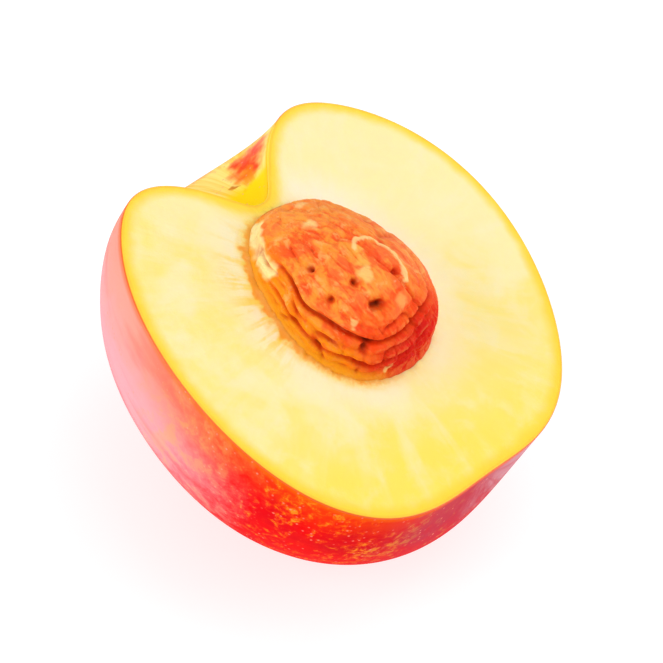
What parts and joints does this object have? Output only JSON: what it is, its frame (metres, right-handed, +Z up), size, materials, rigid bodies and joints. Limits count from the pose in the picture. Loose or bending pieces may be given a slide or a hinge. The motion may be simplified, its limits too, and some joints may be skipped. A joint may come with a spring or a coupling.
{
  "type": "nectarine half",
  "caption": "Half of a nectarine, cut along its suture, lying on its back with the stone still in its hollow.",
  "frame": {"origin": "middle of the small flat spot that the half rests on", "axes": "+Z up, square to the flat spot. The cut face looks up and leans back 19 degrees, lowest towards -Y and +X; the stem end points to -X and +Y and is the higher end."},
  "size_m": [0.0599, 0.0658, 0.0408],
  "materials": {
    "fruit": "satin",
    "stone": "matte"
  },
  "bodies": {
    "root": {"fruit_half": "fruit", "stone": "stone"}
  },
  "joints": []
}
